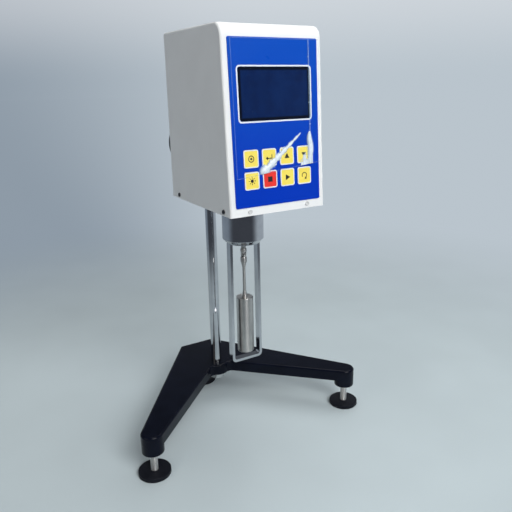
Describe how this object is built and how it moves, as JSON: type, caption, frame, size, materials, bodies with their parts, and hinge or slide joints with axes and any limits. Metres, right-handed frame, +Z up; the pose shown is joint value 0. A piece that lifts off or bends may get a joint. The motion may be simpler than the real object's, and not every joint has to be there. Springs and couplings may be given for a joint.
{
  "type": "rotational viscometer",
  "caption": "Bench rotational viscometer: keypad head on a rack column with three-foot base, guard frame and a cylindrical rotor hung from a universal joint.",
  "frame": {"origin": "on the bench under the middle of the overall footprint", "axes": "+Z up, +Y from the front panel towards the column, +X to the operator's right"},
  "size_m": [0.2885, 0.2155, 0.4432],
  "materials": {
    "black_enamel": "glossy black enamel on cast iron",
    "chrome": "polished plating",
    "bright_steel": "turned bright steel",
    "foot_black": "black moulded plastic",
    "knob_black": "black moulded knob",
    "carriage_grey": "black anodised aluminium",
    "bronze": "turned bronze",
    "head_white": "off-white textured powder coat",
    "chassis_metal": "milled aluminium",
    "dark_screw": "blackened steel",
    "panel_blue": "blue printed film panel",
    "window_clear": "clear acrylic",
    "display_frame": "black tinned frame on a board",
    "display_dark": "dark navy liquid crystal glass",
    "key_yellow": "yellow keycap with white border",
    "key_red": "red keycap with white border",
    "board_green": "green circuit board",
    "level_metal": "turned aluminium",
    "level_glass": "pale green filled vial",
    "socket_black": "black moulded plastic",
    "transformer_steel": "laminated steel and wound coil",
    "motor_dark": "black and silver motor case",
    "spring_bronze": "bronze spring strip",
    "rotor_steel": "brushed stainless steel"
  },
  "bodies": {
    "base": {"base_casting": "black_enamel", "column": "chrome", "column_nut": "bright_steel", "column_cap": "knob_black"},
    "head": {"head_cover": "head_white", "chassis_plate": "chassis_metal", "back_plate": "chassis_metal", "cover_screws": "dark_screw", "front_panel": "panel_blue", "display_window": "window_clear", "display_module": "display_frame", "display_glass": "display_dark", "keypad_board": "board_green", "level_housing": "level_metal", "level_vial": "level_glass", "mains_inlet": "socket_black", "inlet_pins": "bronze", "inlet_screws": "dark_screw", "switch_frame": "socket_black", "serial_port": "bright_steel", "main_board": "board_green", "transformer": "transformer_steel", "motor_bridge": "chassis_metal", "pillars": "chassis_metal", "motor": "motor_dark", "optical_sensors": "socket_black", "bearing_housing": "chassis_metal", "lower_bearing": "bronze", "cup_skirt": "chrome", "guard_frame": "rotor_steel", "lift_carriage": "carriage_grey", "carriage_screws": "dark_screw", "pinion_bushes": "bronze"},
    "lift_pinion": {"pinion_shaft": "bright_steel", "lift_knob": "knob_black"},
    "clamp_pad": {"lock_pad": "bronze"},
    "clamp_knob": {"lock_knob": "knob_black"},
    "drive": {"drive_shaft": "bright_steel"},
    "spindle": {"spindle_shaft": "rotor_steel", "spindle_disc": "chassis_metal", "hairspring": "spring_bronze", "upper_yoke": "rotor_steel"},
    "cross": {"joint_cross": "bright_steel"},
    "rotor": {"lower_yoke": "rotor_steel", "rotor": "rotor_steel"},
    "power_switch": {"power_rocker": "socket_black"},
    "foot_left": {"foot_pad_left": "foot_black"},
    "foot_screw_left": {"foot_screw_left": "bright_steel"},
    "foot_right": {"foot_pad_right": "foot_black"},
    "foot_screw_right": {"foot_screw_right": "bright_steel"},
    "foot_rear": {"foot_pad_rear": "foot_black"},
    "foot_screw_rear": {"foot_screw_rear": "bright_steel"},
    "key_mode": {"key_mode": "key_yellow"},
    "key_enter": {"key_enter": "key_yellow"},
    "key_up": {"key_up": "key_yellow"},
    "key_down": {"key_down": "key_yellow"},
    "key_light": {"key_light": "key_yellow"},
    "key_stop": {"key_stop": "key_red"},
    "key_run": {"key_run": "key_yellow"},
    "key_scan": {"key_scan": "key_yellow"}
  },
  "joints": [
    {"name": "head_lift", "type": "slide", "parent": "base", "child": "head", "axis": [0, 0, 1], "range_m": [-0.08, 0.055]},
    {"name": "lift_knob_turn", "type": "hinge", "parent": "head", "child": "lift_pinion", "pos_m": [0, 0.0589, 0.327], "axis": [1, 0, 0], "range_deg": [-515, 355]},
    {"name": "clamp_pad_travel", "type": "slide", "parent": "head", "child": "clamp_pad", "axis": [1, 0, 0], "range_m": [0, 0.0005]},
    {"name": "clamp_knob_turn", "type": "hinge", "parent": "clamp_pad", "child": "clamp_knob", "pos_m": [0.03, 0.0449, 0.307], "axis": [1, 0, 0], "range_deg": [0, 181]},
    {"name": "foot_left_height", "type": "slide", "parent": "base", "child": "foot_left", "axis": [0, 0, 1], "range_m": [-0.01, 0.00298]},
    {"name": "foot_left_screw_turn", "type": "hinge", "parent": "foot_left", "child": "foot_screw_left", "pos_m": [-0.127, -0.0584, 0.02], "axis": [0, 0, 1], "range_deg": [-2881, 860]},
    {"name": "foot_right_height", "type": "slide", "parent": "base", "child": "foot_right", "axis": [0, 0, 1], "range_m": [-0.01, 0.00298]},
    {"name": "foot_right_screw_turn", "type": "hinge", "parent": "foot_right", "child": "foot_screw_right", "pos_m": [0.127, -0.0584, 0.02], "axis": [0, 0, 1], "range_deg": [-2881, 860]},
    {"name": "foot_rear_height", "type": "slide", "parent": "base", "child": "foot_rear", "axis": [0, 0, 1], "range_m": [-0.01, 0.00298]},
    {"name": "foot_rear_screw_turn", "type": "hinge", "parent": "foot_rear", "child": "foot_screw_rear", "pos_m": [0, 0.0907, 0.02], "axis": [0, 0, 1], "range_deg": [-2881, 860]},
    {"name": "drive_turn", "type": "hinge", "parent": "head", "child": "drive", "pos_m": [0, -0.0342, 0.33], "axis": [0, 0, 1], "continuous": true},
    {"name": "spring_wind", "type": "hinge", "parent": "drive", "child": "spindle", "pos_m": [0, -0.0342, 0.3], "axis": [0, 0, 1], "range_deg": [-5, 85], "stiffness_Nm_per_rad": 0.000045, "deforming": ["hairspring"]},
    {"name": "coupling_swing_front", "type": "hinge", "parent": "spindle", "child": "cross", "pos_m": [0, -0.0342, 0.214], "axis": [1, 0, 0], "range_deg": [-3, 3]},
    {"name": "coupling_swing_side", "type": "hinge", "parent": "cross", "child": "rotor", "pos_m": [0, -0.0342, 0.214], "axis": [0, 1, 0], "range_deg": [-3, 3]},
    {"name": "key_mode_press", "type": "slide", "parent": "head", "child": "key_mode", "axis": [0, 0.9981, -0.0621], "range_m": [0, 0.0004], "stiffness_N_per_m": 2500, "springref_m": -0.0004},
    {"name": "key_enter_press", "type": "slide", "parent": "head", "child": "key_enter", "axis": [0, 0.9981, -0.0621], "range_m": [0, 0.0004], "stiffness_N_per_m": 2500, "springref_m": -0.0004},
    {"name": "key_up_press", "type": "slide", "parent": "head", "child": "key_up", "axis": [0, 0.9981, -0.0621], "range_m": [0, 0.0004], "stiffness_N_per_m": 2500, "springref_m": -0.0004},
    {"name": "key_down_press", "type": "slide", "parent": "head", "child": "key_down", "axis": [0, 0.9981, -0.0621], "range_m": [0, 0.0004], "stiffness_N_per_m": 2500, "springref_m": -0.0004},
    {"name": "key_light_press", "type": "slide", "parent": "head", "child": "key_light", "axis": [0, 0.9981, -0.0621], "range_m": [0, 0.0004], "stiffness_N_per_m": 2500, "springref_m": -0.0004},
    {"name": "key_stop_press", "type": "slide", "parent": "head", "child": "key_stop", "axis": [0, 0.9981, -0.0621], "range_m": [0, 0.0004], "stiffness_N_per_m": 2500, "springref_m": -0.0004},
    {"name": "key_run_press", "type": "slide", "parent": "head", "child": "key_run", "axis": [0, 0.9981, -0.0621], "range_m": [0, 0.0004], "stiffness_N_per_m": 2500, "springref_m": -0.0004},
    {"name": "key_scan_press", "type": "slide", "parent": "head", "child": "key_scan", "axis": [0, 0.9981, -0.0621], "range_m": [0, 0.0004], "stiffness_N_per_m": 2500, "springref_m": -0.0004},
    {"name": "power_switch_rock", "type": "hinge", "parent": "head", "child": "power_switch", "pos_m": [0.016, 0.0292, 0.404], "axis": [1, 0, 0], "range_deg": [0, 14]}
  ],
  "couplings": [
    {"joint": "lift_knob_turn", "follows": "head_lift", "rad_per_m": 111.11},
    {"joint": "clamp_knob_turn", "follows": "clamp_pad_travel", "rad_per_m": 6283.2},
    {"joint": "foot_left_screw_turn", "follows": "foot_left_height", "rad_per_m": 5026.5},
    {"joint": "foot_right_screw_turn", "follows": "foot_right_height", "rad_per_m": 5026.5},
    {"joint": "foot_rear_screw_turn", "follows": "foot_rear_height", "rad_per_m": 5026.5}
  ]
}
